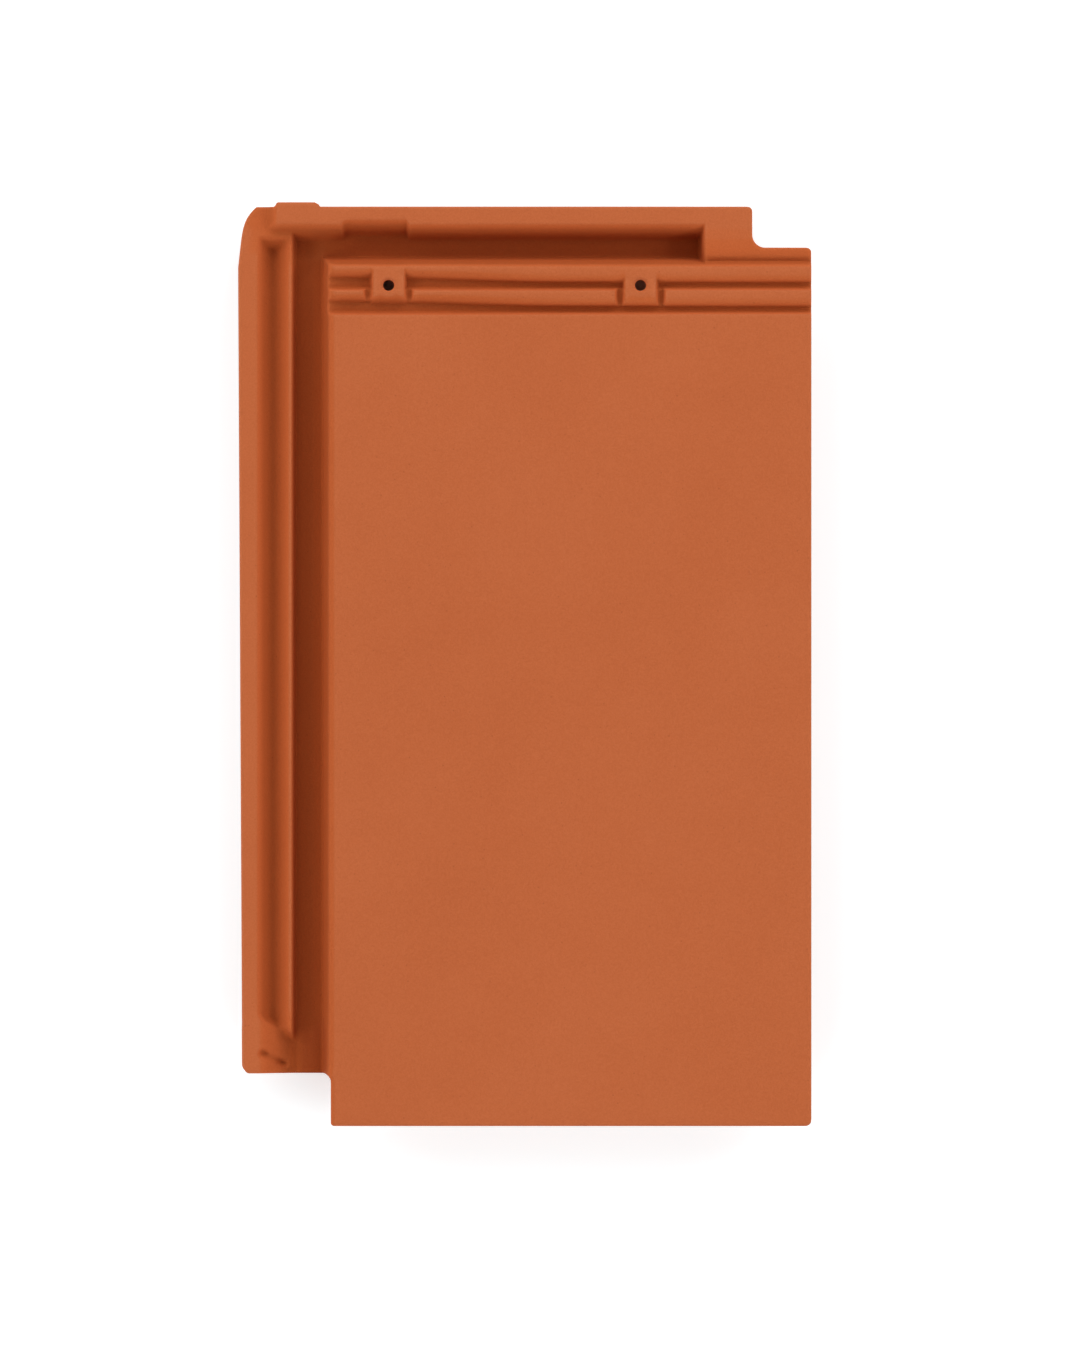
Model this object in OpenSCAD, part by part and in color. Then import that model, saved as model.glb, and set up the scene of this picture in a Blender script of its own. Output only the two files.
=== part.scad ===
// Flat interlocking clay roof tile, pressed and fired in one piece.
// Millimetres. +Y runs to the head (upslope), +X to the cover side, +Z out of the weather face.
// The tile lies on its two batten nibs and its foot rib, which end on one plane at z = 0.

/* [Overall] */
// length from foot edge to head edge, without the small lug
tile_l = 460; // [400:1:500]
// width over the side lock and the cover flange
tile_w = 287.5; // [260:0.5:320]
// thickness of the face slab
slab_t = 13; // [12:0.5:16]
// rounding of the outer arrises
arris_r = 1.5; // [0.8:0.1:2]
// rounding of the face's edge over the side lock
face_edge_r = 3.5; // [1.5:0.1:4]

/* [Fit between tiles] */
// open joint between two neighbouring faces
joint_gap = 2; // [1.5:0.1:3]
// length of a tile that the next course covers
head_lap = 45; // [44:0.5:46]
// height left between the cover flange and the lock under it
lap_play = 0.5; // [0.3:0.1:1]
// room left around a rib in its channel
rib_play = 1.5; // [1:0.1:2]
// room left under the foot rib in the head channel
foot_play = 1; // [0.5:0.1:2]

/* [Side lock] */
// width of the outer rim
rim_w = 10.5; // [8:0.5:12]
// width of the shallow channel at the rim level
shallow_w = 14; // [12:0.5:16]
// width of the flat at the bottom of the shallow channel
shallow_floor_w = 4; // [3:0.5:5]
// depth of the shallow channel below the rim
shallow_d = 7.5; // [6:0.5:8]
// width of the inner rib's crest
inner_rib_w = 3; // [2.5:0.5:4.5]
// slope of the inner rib's wall, across
inner_wall_w = 1.5; // [1:0.1:2]
// width of the deep channel's floor
deep_w = 14; // [13:0.5:17]
// slope of the wall up to the face, across
face_wall_w = 3.5; // [2.5:0.1:4]
// depth of the deep channel below the rim
deep_d = 9; // [8:0.5:10]
// thickness of clay under the deep channel
lock_floor_t = 7.5; // [7:0.5:10]
// how far the lock's outer edge draws in towards the foot
lock_taper = 2; // [1:0.1:3]

/* [Cover flange] */
// thickness of the cover flange
flange_t = 9; // [8:0.5:11]
// width of the down-turned lip at its tip
lip_w = 7; // [5:0.5:8]

/* [Head lock] */
// width of the head rim's crest
head_rim_w = 10; // [9:0.5:12]
// slope of the head rim's inner wall, along
rim_wall_w = 4.7; // [3:0.1:5]
// rounding of the head rim over that wall
rim_round_r = 4.5; // [1.5:0.1:5]
// width of the head channel at its top
head_channel_w = 19; // [18.5:0.5:20.5]
// slope of the upper rib's wall in the head channel, along
head_wall_w = 3.2; // [1.5:0.1:3.6]
// drop of the head rim below the face
head_rim_drop = 4; // [3.5:0.1:4.5]
// fall of the head channel's floor into the side channel
head_fall = 0.5; // [0.3:0.1:0.8]
// width of the upper cross rib
upper_rib_w = 8; // [7.5:0.1:9]
// width of each cross groove
groove_w = 5; // [4:0.1:5.5]
// width of the lower cross rib
lower_rib_w = 7; // [6:0.1:8]
// depth of the cross grooves
groove_d = 5; // [4:0.1:5.5]
// length of the fall from each cross rib to the groove below it
lean_l = 4; // [2:0.1:5]
// drop of that fall
lean_d = 0.9; // [0.4:0.1:1.4]
// distance from the cover edge to the head channel's closed end
channel_end_x = 53.5; // [50:0.5:58]
// length of the cut-back in the head rim
recess_l = 32; // [24:1:40]
// depth of the cut-back in the head rim
recess_d = 2.2; // [1.5:0.1:3]
// width of the lug on the head edge
lug_w = 21.5; // [14:0.5:24]
// how far the lug stands out
lug_out = 2.2; // [0.8:0.1:3]

/* [Nail bosses] */
// side of each square boss
boss_w = 17; // [15:0.5:18]
// how far the nail holes and the nibs sit from the slab's middle, towards the lock
hole_shift = 5; // [0:0.5:8]
// distance between the two nail holes
hole_pitch = 126; // [110:1:140]
// diameter of the nail holes
hole_d = 5.5; // [4.5:0.1:6]
// diameter of a nail hole's mouth
mouth_d = 7.6; // [6.6:0.1:8.5]
// width of the moat beside each boss
moat_w = 2.6; // [2:0.1:3.5]

/* [Foot lock] */
// thickness of the nose at the foot
nose_l = 9; // [8:0.5:10]
// thickness of the foot rib at its tip
foot_rib_l = 7.5; // [6:0.1:8]
// slope of each side of the foot rib, along
foot_rib_slope = 2; // [1:0.1:2.2]

/* [Batten nibs] */
// height of the nibs below the batten seat
nib_h = 10; // [9:0.5:12]
// width of each nib
nib_w = 30; // [22:1:40]
// length of each nib
nib_l = 14; // [12:0.5:15]
// distance between the nibs
nib_pitch = 126; // [100:1:140]
// width of the batten seat between the trough's edge and the nibs
seat_l = 11.5; // [10:0.5:12]

/* [Notches] */
// width of the notch at the head on the cover side
head_notch_w = 29.5; // [27:0.5:31]
// length of the notch at the head on the cover side
head_notch_l = 20.5; // [20:0.1:22]
// length of the notch at the foot of the side lock
foot_notch_l = 26; // [25.5:0.1:27]
// length of the closed end of the shallow channel at the foot
lock_end_l = 24; // [20:0.5:28]
// depth of the crease across that closed end
crease_d = 1.2; // [0.8:0.1:1.6]
// width of the crease
crease_w = 2.4; // [1.6:0.1:3]
// width of the cut corner at the head
corner_w = 8.5; // [6:0.5:10]
// length of the cut corner
corner_l = 30; // [20:1:34]

/* [Hidden] */
// levels, all from the bed
deep_z = nib_h + lock_floor_t;
rim_z = deep_z + deep_d;
shallow_z = rim_z - shallow_d;
flange_z = rim_z + lap_play;
face_z = flange_z + flange_t;
slab_z = face_z - slab_t;
head_floor_z = deep_z + head_fall;
head_rim_z = face_z - head_rim_drop;
course_rise = head_floor_z + foot_play;
nose_z = face_z - course_rise;
lock_relief_z = head_rim_z - course_rise + foot_play;

// places across, from the lock's outer edge
shallow_x = rim_w + shallow_w / 2;
inner_rib_x = rim_w + shallow_w;
inner_wall_x = inner_rib_x + inner_rib_w;
deep_x = inner_wall_x + inner_wall_w;
face_wall_x = deep_x + deep_w;
lock_w = face_wall_x + face_wall_w;
cover_pitch = tile_w - lock_w + joint_gap;
flange_x = cover_pitch - rib_play;
face_mid = (lock_w + flange_x) / 2 - hole_shift;
head_notch_x = tile_w - head_notch_w;
ramp_x = head_notch_x - cover_pitch;
channel_x1 = tile_w - channel_end_x;
shallow_slope = (shallow_w - shallow_floor_w) / 2 / shallow_d;
wall_slope = face_wall_w / (face_z - deep_z);
tip_a_z = shallow_z + rib_play;
tip_a = shallow_floor_w / 2 + rib_play * shallow_slope - rib_play;
root_a = tip_a + (flange_z - tip_a_z) * shallow_slope;
tip_b_z = deep_z + rib_play;
land_z = face_z - arris_r - 1;
lip_x = cover_pitch + face_wall_x + rib_play * wall_slope - joint_gap;

// places along, from the foot edge
gauge = tile_l - head_lap;
channel_y1 = tile_l - head_rim_w;
channel_y0 = channel_y1 - head_channel_w;
floor_y0 = channel_y0 + head_wall_w;
floor_y1 = channel_y1 - rim_wall_w;
rim_slope = rim_wall_w / (head_rim_z - head_floor_z);
rib_slope = head_wall_w / (face_z - head_floor_z);
groove_a1 = channel_y0 - upper_rib_w;
groove_a0 = groove_a1 - groove_w;
groove_b1 = groove_a0 - lower_rib_w;
groove_b0 = groove_b1 - groove_w;
hole_y = groove_a0 + groove_w / 2;
boss_y0 = hole_y - boss_w / 2;
foot_rib_y = (floor_y0 + floor_y1) / 2 - gauge;
nib_y = channel_y0 - 5 + seat_l;
shallow_y1 = floor_y1 + 1;
lock_end_y = foot_notch_l + lock_end_l;
trough_x1 = flange_x - 1.5;
notch_x = lock_w + 0.6;
lug_x = inner_rib_x - 5;
end_draft = 1.5;
crease_l = inner_wall_x - rim_w - 0.7;
out = 10;

function unit(v) = v / norm(v);

// points of the arc that rounds corner b between a and c
function arc_at(a, b, c, r, n) =
    r <= 0 ? [b] :
    let (u = unit(a - b), v = unit(c - b), half = acos(u * v) / 2,
         o = b + unit(u + v) * r / sin(half),
         p = b + u * r / tan(half) - o, q = b + v * r / tan(half) - o,
         a0 = atan2(p[1], p[0]), turn = (atan2(q[1], q[0]) - a0 + 540) % 360 - 180)
    [for (i = [0 : n]) o + r * [cos(a0 + turn * i / n), sin(a0 + turn * i / n)]];

// an outline from corners given as [x, y, radius]
function rounded(c, n = 4) =
    let (m = len(c))
    [for (i = [0 : m - 1])
        let (a = c[(i + m - 1) % m], b = c[i], d = c[(i + 1) % m])
        each arc_at([a[0], a[1]], [b[0], b[1]], [d[0], d[1]], b[2], n)];

// a section drawn across the tile (x, z), carried along Y
module along(y0, y1, pts)
    translate([0, y1, 0]) rotate([90, 0, 0]) linear_extrude(y1 - y0) polygon(pts);

// a section drawn along the tile (y, z), carried across X
module across(x0, x1, pts)
    translate([x0, 0, 0]) rotate([90, 0, 90]) linear_extrude(x1 - x0) polygon(pts);

// the plan outline with its two notches, the cut corner and the lug
module plan(z0, z1)
    translate([0, 0, z0]) linear_extrude(z1 - z0) polygon(rounded([
        [notch_x, 0, 2],
        [tile_w + out, 0, 0],
        [tile_w + out, tile_l - head_notch_l, 0],
        [head_notch_x, tile_l - head_notch_l, 6],
        [head_notch_x, tile_l, 2],
        [lug_x + lug_w, tile_l, 0],
        [lug_x + lug_w - 1, tile_l + lug_out, 0],
        [lug_x + 1, tile_l + lug_out, 0],
        [lug_x, tile_l, 0],
        [corner_w, tile_l, 3],
        [0.38 * corner_w, tile_l - 0.27 * corner_l, 5],
        [0, tile_l - corner_l, 12],
        [lock_taper, foot_notch_l, 4],
        [notch_x, foot_notch_l, 3]]));

// side lock, slab and cover flange in one section
function main_section() = rounded([
    [0, nib_h, 2],
    [0.8, rim_z, arris_r],
    [inner_wall_x, rim_z, 1],
    [deep_x, deep_z, 2],
    [face_wall_x, deep_z, 3],
    [lock_w, face_z, face_edge_r],
    [tile_w, face_z, arris_r],
    [tile_w, land_z, 0],
    [lip_x, tip_b_z, 1.2],
    [lip_x - lip_w, tip_b_z, 1.2],
    [lip_x - lip_w - 1.5, flange_z, 1.5],
    [cover_pitch + shallow_x + root_a, flange_z, 1],
    [cover_pitch + shallow_x + tip_a, tip_a_z, 0.6],
    [cover_pitch + shallow_x - tip_a, tip_a_z, 0.6],
    [cover_pitch + shallow_x - root_a, flange_z, 1],
    [flange_x, flange_z, 1],
    [flange_x - 1, slab_z, 1],
    [lock_w + 8, slab_z, 3],
    [lock_w + 1.5, nib_h, 2]]);

// clay under the head channel, which sits on the batten
module trough()
    across(lock_w - 1, trough_x1, rounded([
        [nib_y - seat_l - 2, slab_z + 1, 0],
        [nib_y - seat_l, nib_h, 1],
        [tile_l + out, nib_h, 0],
        [tile_l + out, slab_z + 1, 0]]));

// the part of the head rim that closes the side channels
module head_rim()
    intersection() {
        along(floor_y1 - 2, tile_l + out, rounded([
            [rim_w - 3, rim_z - 0.2, 0],
            [ramp_x, rim_z - 0.2, 3],
            [ramp_x + 5, head_rim_z, 3],
            [lock_w + 10, head_rim_z, 0],
            [lock_w + 10, nib_h + 3, 0],
            [rim_w - 3, nib_h + 3, 0]]));
        across(0, lock_w + out, rounded([
            [floor_y1 - 6 * rim_slope, head_floor_z - 6, 0],
            [channel_y1, head_rim_z, rim_round_r],
            [tile_l + out, head_rim_z, 0],
            [tile_l + out, head_floor_z - 6, 0]]));
    }

// open channel behind the head rim, running out into the side channel
module head_channel()
    intersection() {
        across(deep_x, channel_x1 + 1, rounded([
            [floor_y0 - (out + face_z - head_floor_z) * rib_slope, face_z + out, 0],
            [floor_y0, head_floor_z, 2.5],
            [floor_y1, head_floor_z, 2.5],
            [channel_y1, head_rim_z, rim_round_r],
            [tile_l + out, head_rim_z, 0],
            [tile_l + out, face_z + out, 0]]));
        along(channel_y0 - out, channel_y1 + out, rounded([
            [0, head_floor_z, 0],
            [channel_x1 - end_draft, head_floor_z, 2],
            [channel_x1 + end_draft, face_z + end_draft, 0],
            [0, face_z + end_draft, 0]]));
    }

// takes the head rim and the corner flat down below the face
module head_step()
    across(rim_w + 4, tile_w + out, rounded([
        [channel_y0 - 0.6, face_z + 1, 0],
        [channel_y0 + 1.4, head_rim_z, 1],
        [tile_l + lug_out + out, head_rim_z, 0],
        [tile_l + lug_out + out, face_z + 1, 0]]));

module groove(y0, y1)
    across(lock_w - 2, tile_w + out, rounded([
        [y0 - 0.3, face_z + 1, 0],
        [y0 + 1.1, face_z - groove_d, 0.9],
        [y1 - 1.1, face_z - groove_d, 0.9],
        [y1, face_z - lean_d, 0],
        [y1 + lean_l, face_z, 0],
        [y1 + lean_l, face_z + 1, 0]]));

// the two cross grooves, broken by the bosses
module grooves()
    difference() {
        union() {
            groove(groove_a0, groove_a1);
            groove(groove_b0, groove_b1);
        }
        for (s = [-1, 1])
            translate([face_mid + s * hole_pitch / 2 - boss_w / 2, boss_y0, face_z - groove_d - 3])
                cube([boss_w, boss_w, groove_d + 6]);
    }

module moats()
    for (s = [-1, 1], t = [-1, 1])
        translate([face_mid + s * hole_pitch / 2 + t * (boss_w + moat_w) / 2, 0, 0])
            along(groove_b1 - 1.5, groove_a0 + 2, rounded([
                [-moat_w / 2 - 0.3, face_z + 1, 0],
                [-moat_w / 2 + 0.5, face_z - groove_d + 0.4, 0.5],
                [moat_w / 2 - 0.5, face_z - groove_d + 0.4, 0.5],
                [moat_w / 2 + 0.3, face_z + 1, 0]]));

module nail_holes()
    for (s = [-1, 1])
        translate([face_mid + s * hole_pitch / 2, hole_y, 0]) {
            translate([0, 0, slab_z - 4]) cylinder(d = hole_d, h = slab_t + 8, $fn = 48);
            translate([0, 0, face_z - 1.2])
                cylinder(d1 = hole_d, d2 = mouth_d + 0.8, h = 1.6, $fn = 48);
        }

// shallow outer channel, closed at both ends
module shallow_channel()
    intersection() {
        along(lock_end_y - 4, shallow_y1, [
            [rim_w - 1.4, rim_z + 0.6],
            [rim_w + 0.6, rim_z - 0.8],
            [shallow_x - shallow_floor_w / 2, shallow_z],
            [shallow_x + shallow_floor_w / 2, shallow_z],
            [inner_rib_x - 0.6, rim_z - 0.8],
            [inner_rib_x + 0.9, rim_z + 0.6]]);
        across(rim_w - 3, inner_rib_x + 3, [
            [lock_end_y - 3, rim_z + 1],
            [lock_end_y + 5, shallow_z - 1],
            [shallow_y1 - 5, shallow_z - 1],
            [shallow_y1 - 0.5, rim_z + 1]]);
    }

// everything over the slope that falls from the rim to the deep channel, sunk by a depth
module lock_fall(sunk)
    along(foot_notch_l - 4, lock_end_y + 4, [
        [rim_w + 0.5, rim_z + 0.6 - sunk],
        [rim_w + 2.4, rim_z - 0.5 - sunk],
        [inner_wall_x + 1, deep_z + 1.4 - sunk],
        [deep_x + 3, deep_z + 0.6],
        [deep_x + 3, rim_z + 4],
        [rim_w + 0.5, rim_z + 4]]);

// fall from the rim to the deep channel at the lock's foot, and the crease across it
module lock_end() {
    intersection() {
        lock_fall(0);
        translate([0, 0, nib_h]) linear_extrude(face_z) polygon([
            [0, foot_notch_l - 3],
            [deep_x + 2, foot_notch_l - 3],
            [deep_x + 2, lock_end_y - 8],
            [inner_rib_x, lock_end_y - 5.5],
            [rim_w, lock_end_y + 1]]);
    }
    intersection() {
        lock_fall(crease_d);
        translate([rim_w + 0.5, foot_notch_l + 11.2, nib_h])
            rotate(-27) translate([0, -crease_w / 2, 0]) cube([crease_l, crease_w, face_z]);
    }
}

// small cut-back in the inner edge of the head rim
module rim_recess()
    across(lock_w + 7, lock_w + 7 + recess_l, [
        [floor_y1 - 3, head_floor_z + 1],
        [floor_y1 + rim_slope + recess_d, head_floor_z + 1],
        [channel_y1 + rim_slope * (rim_round_r + 2) + recess_d, head_rim_z + rim_round_r + 2],
        [floor_y1 - 3, head_rim_z + rim_round_r + 2]]);

// under the lock's foot and the face's corner, clear of the tile below
module foot_relief() {
    across(-out, lock_w + 11, rounded([
        [-out, -1, 0],
        [head_lap + 8, -1, 0],
        [head_lap + 3, lock_relief_z, 1.5],
        [-out, lock_relief_z, 0]]));
    translate([lock_w - out, -out, -1])
        cube([2 * out + 1, foot_notch_l + out, slab_z + 1.5]);
}

// under the corner flat, clear of the neighbour's lock
module flat_relief()
    translate([flange_x + 0.8, tile_l - head_notch_l - 4, nib_h])
        cube([tile_w, head_notch_l + out + 4, flange_z + 0.3 - nib_h]);

// ends the flange rib short of the closed end of the neighbour's shallow channel
module rib_relief()
    translate([cover_pitch + shallow_x - root_a - 2, -out, nib_h])
        cube([2 * root_a + 4, lock_end_y + 5 + out, flange_z + 0.3 - nib_h]);

// rounds the top arris along the foot edge
module foot_arris()
    across(lock_w - out, tile_w + out, concat(
        [[-1, face_z + 1], [-1, face_z - arris_r]],
        [for (i = [0 : 4]) [arris_r * (1 - cos(i * 22.5)), face_z + arris_r * (sin(i * 22.5) - 1)]],
        [[arris_r, face_z + 1]]));

// nose that sits on the tile below, foot rib that drops into its head channel
module foot_lock() {
    across(notch_x + 1, lip_x - 1.2, rounded([
        [0.4, slab_z + 6, 0],
        [1.2, nose_z, 1],
        [nose_l, nose_z, 1],
        [nose_l + 2, slab_z + 6, 0]]));
    intersection() {
        across(lock_w, channel_x1, rounded([
            [foot_rib_y - foot_rib_l / 2 - foot_rib_slope, slab_z + 2, 0],
            [foot_rib_y - foot_rib_l / 2, 0, 1.5],
            [foot_rib_y + foot_rib_l / 2, 0, 1.5],
            [foot_rib_y + foot_rib_l / 2 + foot_rib_slope, slab_z + 2, 0]]));
        along(0, head_lap, rounded([
            [lock_w + 3 - end_draft, slab_z + 2, 0],
            [lock_w + 3, 0, 1.5],
            [channel_x1 - end_draft - 3.5, 0, 1.5],
            [channel_x1 - 3.5, slab_z + 2, 0]]));
    }
}

// two hooks that hang the tile on its batten, drafted at their ends
module nibs()
    for (s = [-1, 1])
        translate([face_mid + s * nib_pitch / 2, 0, 0])
            intersection() {
                across(-nib_w, nib_w, rounded([
                    [nib_y, nib_h + 2, 0],
                    [nib_y, 0, 1.2],
                    [nib_y + nib_l - 3, 0, 2],
                    [nib_y + nib_l, nib_h + 2, 0]]));
                along(nib_y - 1, nib_y + nib_l + 1, rounded([
                    [-nib_w / 2 - end_draft, nib_h + 2, 0],
                    [-nib_w / 2 + end_draft, 0, 1.5],
                    [nib_w / 2 - end_draft, 0, 1.5],
                    [nib_w / 2 + end_draft, nib_h + 2, 0]]));
            }

module roof_tile()
    color([0.75, 0.40, 0.24])
    translate([-tile_w / 2, -(tile_l + lug_out) / 2, 0])
    union() {
        difference() {
            intersection() {
                plan(-1, face_z + 5);
                union() {
                    along(-out, tile_l + out, main_section());
                    trough();
                    head_rim();
                }
            }
            head_channel();
            head_step();
            grooves();
            moats();
            nail_holes();
            shallow_channel();
            lock_end();
            rim_recess();
            foot_relief();
            flat_relief();
            rib_relief();
            foot_arris();
        }
        foot_lock();
        nibs();
    }

roof_tile();
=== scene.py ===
import math
import bpy
import numpy as np
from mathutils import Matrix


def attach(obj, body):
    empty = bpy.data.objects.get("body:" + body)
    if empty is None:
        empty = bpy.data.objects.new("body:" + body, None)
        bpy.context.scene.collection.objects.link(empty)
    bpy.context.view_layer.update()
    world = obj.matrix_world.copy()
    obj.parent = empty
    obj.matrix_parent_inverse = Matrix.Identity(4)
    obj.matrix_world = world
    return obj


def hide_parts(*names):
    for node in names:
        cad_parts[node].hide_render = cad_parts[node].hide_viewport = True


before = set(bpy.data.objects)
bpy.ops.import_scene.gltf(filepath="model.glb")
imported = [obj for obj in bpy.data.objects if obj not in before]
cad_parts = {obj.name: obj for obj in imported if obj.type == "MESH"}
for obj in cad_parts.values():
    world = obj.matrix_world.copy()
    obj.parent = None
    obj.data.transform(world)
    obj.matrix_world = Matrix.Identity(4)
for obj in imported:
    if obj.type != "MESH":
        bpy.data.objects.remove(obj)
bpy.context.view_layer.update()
print("frame loaded, nodes:", list(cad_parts))

# everything about the tile in mm: x from the lock's outer edge, y from the foot edge, z from the bed
tile = dict(
    # outline, face and edges; a draft is how far an edge pulls in, and over how many mm
    length=460.0, width=287.5, faceZ=36.0, slabZ=23.0, underZ=10.0, wave=0.12, waveFade=25.0,
    arris=1.5, arrisMost=0.3, underArris=0.8, faceEdge=(4.0, 1.8, 1.5), wallRows=3, normalWeight=60,
    footNotch=(47.1, 26.0), footFill=4.0, headNotch=(258.0, 439.5), headFill=6.5,
    noseR=1.6, coverFootR=3.0, lockFootR=4.5, headR=2.5,
    taper=2.2, taperFade=10.0, cornerX=9.0, cornerY=30.0, cornerFade=16.0, cornerEven=0.37, cornerPower=6,
    edgeDraft=(0.8, 6.0), lipDraft=(3.2, 8.5), noseDraft=(1.0, 4.0),
    # side lock and its foot
    rimZ=26.5, rimW=10.5, shallowX=17.9, shallowHalf=2.2, shallowZ=19.0, shallowRun=(0.667, 0.78),
    shallowRise=4.0, deepX=29.0, deepZ=17.5, wallX=43.0, lockW=46.5,
    lockEnd=50.0, lockEndTurn=0.58, lockEndEase=(-1.6, 3.4),
    slopePast=1.0, slopeOver=0.2, slopeMost=1.3, slopeBow=1.35,
    creaseStart=(11.0, 37.2), creaseAngle=-27.0, creaseD=1.28, creaseW=1.8,
    creaseEnds=((-1.0, 1.5), (14.5, 16.5)), creasePits=((2.7, 2.0), (12.2, 2.4)),
    # cross grooves and ribs
    grooves=((418.0, 423.0), (406.0, 411.0)), grooveD=4.3, grooveFoot=1.4, grooveHead=1.2,
    widen=2.7, widenX=(60.0, 165.0), deepen=0.1, flatten=0.16, flattenX=(170.0, 260.0),
    lean=2.0, leanL=5.4, leanStart=(-2.0, -0.5), leanLoss=0.45, leanX=(100.0, 170.0), onFace=(-0.5, 1.5),
    # nail holes, bosses and moats
    holeX=(76.0, 202.0), holeY=420.5, holeR=2.75, holeFade=(4.2, 8.0), mouthR=3.8, mouthD=1.1,
    bossHalf=7.8, bossFoot=5.6, moatHalf=2.5, moatFlat=1.1, moatD=3.2, moatEnds=(3.0, 2.5),
    # head channel and head rim
    channelY=(431.0, 449.6), floorY=(435.0, 444.2), floorZ=18.0, floorRun=25.0, channelEnd=233.4, endDraft=1.5,
    channelSoftX=(41.0, 50.0), ribFall=1.4, seamY=1.6, seamW=1.5, seamD=0.8, seamX=(1.0, 4.0),
    headRimZ=32.0, rampX=14.0, rampL=7.0, rimStart=3.0, rimEnd=6.0, rimJoinX=(-5.0, 0.0),
    recess=(53.5, 85.5), recessEase=1.0, recessD=2.2, lug=(19.5, 41.0), lugEase=0.8, lugOut=2.2, lugFade=10.0,
    # underside
    slabStart=1.5, reliefZ=14.0, reliefY=48.0, pocketX=(1.0, 11.0), pocketZ=0.5,
    flangeX=241.5, flangeStart=1.0, flangeZ=27.0, flangeRib=(260.5, 1.5, 20.5), flangeRibY=(55.0, 435.5),
    lipX=277.3, lipZ=19.0, troughX=240.0, troughY=426.0, noseL=9.0, noseZ=17.0, noseEnd=4.4,
    footRibY=24.75, footRibHalf=3.75, footRibX=(49.5, 229.0), nibHalf=15.0, nibY=(437.5, 448.5),
    # steepness of the slopes, in mm of height for each mm of run
    steep=dict(
        shallowEnd=1.7, innerRib=6.0, grooveFoot=3.0, grooveHead=2.6, bossSide=4.0, bossFoot=1.3,
        moat=2.2, moatEnd=4.0, ribFall=1.7, channelEnd=7.0, rimStart=0.4, rimEnd=4.0,
        slab=2.0, relief=1.6, pocket=4.0, flange=4.0, flangeRibEnd=5.0, lip=5.3, troughFoot=6.5, troughEnd=8.0,
        nose=5.0, noseEnd=8.0, footRib=12.0, footRibEnd=14.0, nibFoot=11.0, nibHead=4.0, nibEnd=4.0),
    # how softly two slopes meet, in mm of height
    blend=dict(
        bed=3.0, shallowEnd=2.4, rim=2.8, innerRib=2.0, faceEdge=1.2, wallFoot=4.0, lockFoot=1.6,
        grooveBed=1.2, grooveFoot=1.6, grooveHead=2.6, bossFoot=1.0, boss=0.8, moatBed=0.8, moat=0.9,
        ribFall=1.6, channel=(0.05, 4.25), headRim=7.0, rimJoin=(2.4, 0.05),
        slab=3.0, relief=1.2, pocket=1.0, flange=1.2, flangeRib=1.2, lip=1.4, trough=1.6, nose=1.2,
        footRib=1.8, nib=1.4),
    # for the material: open-sky reach for the painted recess shade, what counts as a proud edge, painted shade
    # at the lock's foot
    headings=8, skyReach=(2.5, 4.5, 7.5, 12.0, 18.0), proudR=1.6, proudFrom=0.05, proudRun=0.6,
    wornEdge=(0.2, 1.6), footShade=0.26, footShadeX=(18.0, 30.0), footShadeY=(34.0, 60.0),
)
centre = np.array([tile["width"] / 2, (tile["length"] + tile["lugOut"]) / 2])


# soft minimum: the lower of two heights, with the corner between them rounded over k mm of height
def softMin(a, b, k):
    h = np.clip(0.5 + 0.5 * (b - a) / k, 0.0, 1.0)
    return b + (a - b) * h - k * h * (1.0 - h)


# soft maximum: the higher of two heights, rounded the same way
def softMax(a, b, k):
    return -softMin(-a, -b, k)


# the part of a value that is above 0
def above(v):
    return np.maximum(v, 0.0)


# distance outside an interval, 0 inside it
def outside(v, lo, hi):
    return above(np.maximum(lo - v, v - hi))


# 0 below lo, 1 above hi, an S-curve between
def ease(v, lo, hi):
    t = np.clip((v - lo) / (hi - lo), 0.0, 1.0)
    return t * t * (3.0 - 2.0 * t)


# 1 inside an interval, 0 outside it, with an S-curve of half width w over each end
def window(v, lo, hi, w):
    return ease(v, lo - w, lo + w) * (1 - ease(v, hi - w, hi + w))


# 1 at an edge, falling evenly to 0 at a distance of reach from it
def fade(d, reach):
    return np.clip(1 - d / reach, 0.0, 1.0)


# drop of a quarter-round edge of radius r, d mm in from where it turns upright
def roundOff(d, r):
    return r - np.sqrt(above(r * r - above(r - d) ** 2))


# unit steps in n headings all round
def allRound(n):
    return [(math.cos(2 * math.pi * k / n), math.sin(2 * math.pi * k / n)) for k in range(n)]


# the press leaves the face a little uneven: long crossed waves with fixed phases, about -1 to 1
def unevenness(x, y):
    crossed = np.sin(x / 61.0 + 0.7) * np.cos(y / 83.0 - 0.4)
    slanted = 0.6 * np.sin(x / 29.0 - y / 47.0 + 2.1) + 0.5 * np.cos(x / 37.0 + y / 31.0 + 0.9)
    return (crossed + slanted) / 2.1


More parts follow.
